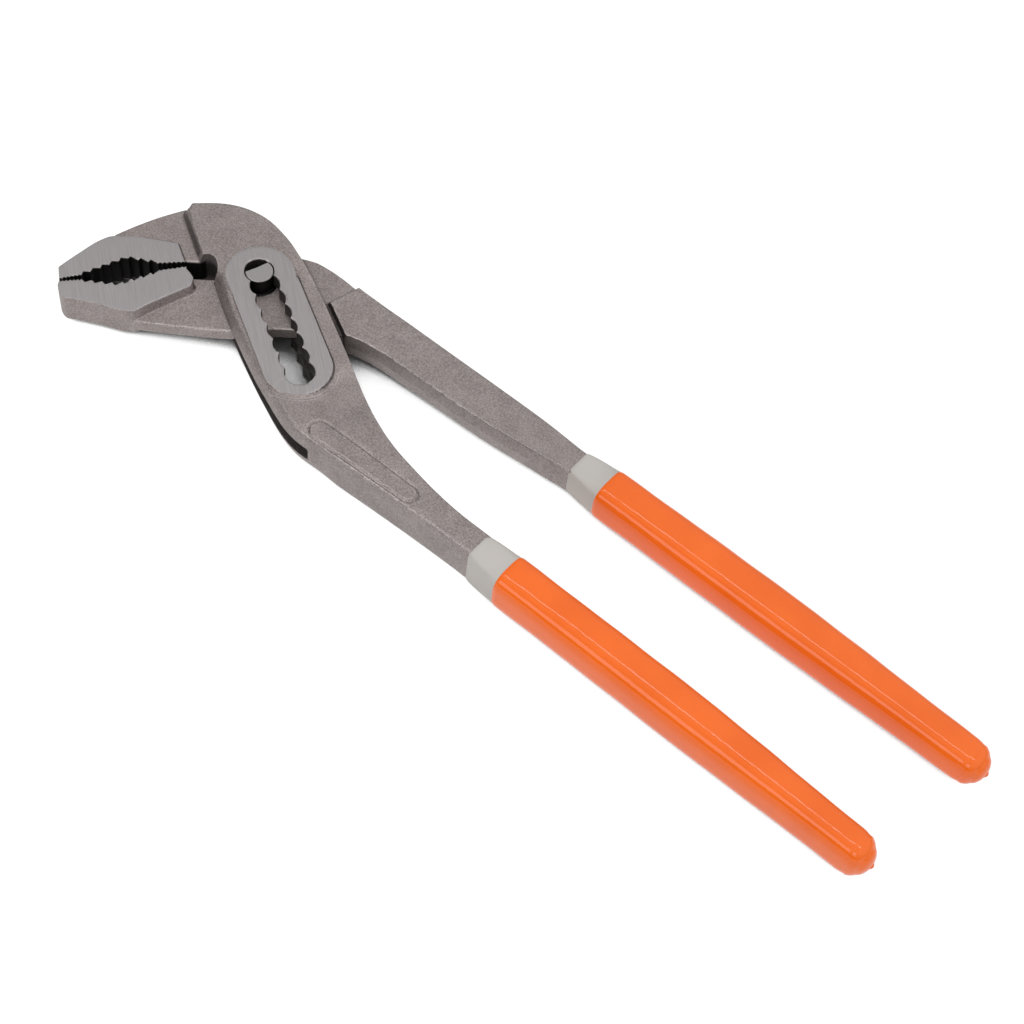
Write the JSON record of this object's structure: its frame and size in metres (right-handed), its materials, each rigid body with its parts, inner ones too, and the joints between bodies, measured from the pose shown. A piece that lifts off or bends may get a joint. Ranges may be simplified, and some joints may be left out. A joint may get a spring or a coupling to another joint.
{
  "type": "water pump pliers",
  "caption": "Slip-joint gripping pliers with a scalloped box joint that sets the jaw opening, toothed pipe jaws, forged steel handles and dipped plastic grips.",
  "frame": {"origin": "centre of the footprint, on the surface that the tool lies on", "axes": "+X from the jaws to the handle ends, +Y towards the upper handle, +Z out of the flat side that the picture shows"},
  "size_m": [0.3042, 0.0828, 0.0144],
  "materials": {
    "forged_steel": "shot-blasted forging with ground flats",
    "pin_steel": "dark oiled sides, ground end faces",
    "grey_dip": "satin dip coating",
    "orange_dip": "glossy dip coating"
  },
  "bodies": {
    "box_half": {"box_half": "forged_steel", "lower_grip_base": "grey_dip", "lower_grip_sleeve": "orange_dip"},
    "pin": {"pivot_pin": "pin_steel"},
    "inner_half": {"inner_half": "forged_steel", "upper_grip_base": "grey_dip", "upper_grip_sleeve": "orange_dip"}
  },
  "joints": [
    {"name": "pivot_position", "type": "slide", "parent": "box_half", "child": "pin", "axis": [0.809, -0.5878, 0], "range_m": [0, 0.03983]},
    {"name": "jaw_opening", "type": "hinge", "parent": "pin", "child": "inner_half", "pos_m": [-0.10272, 0.02283, 0.0072], "axis": [0, 0, 1], "range_deg": [0, 45]}
  ]
}
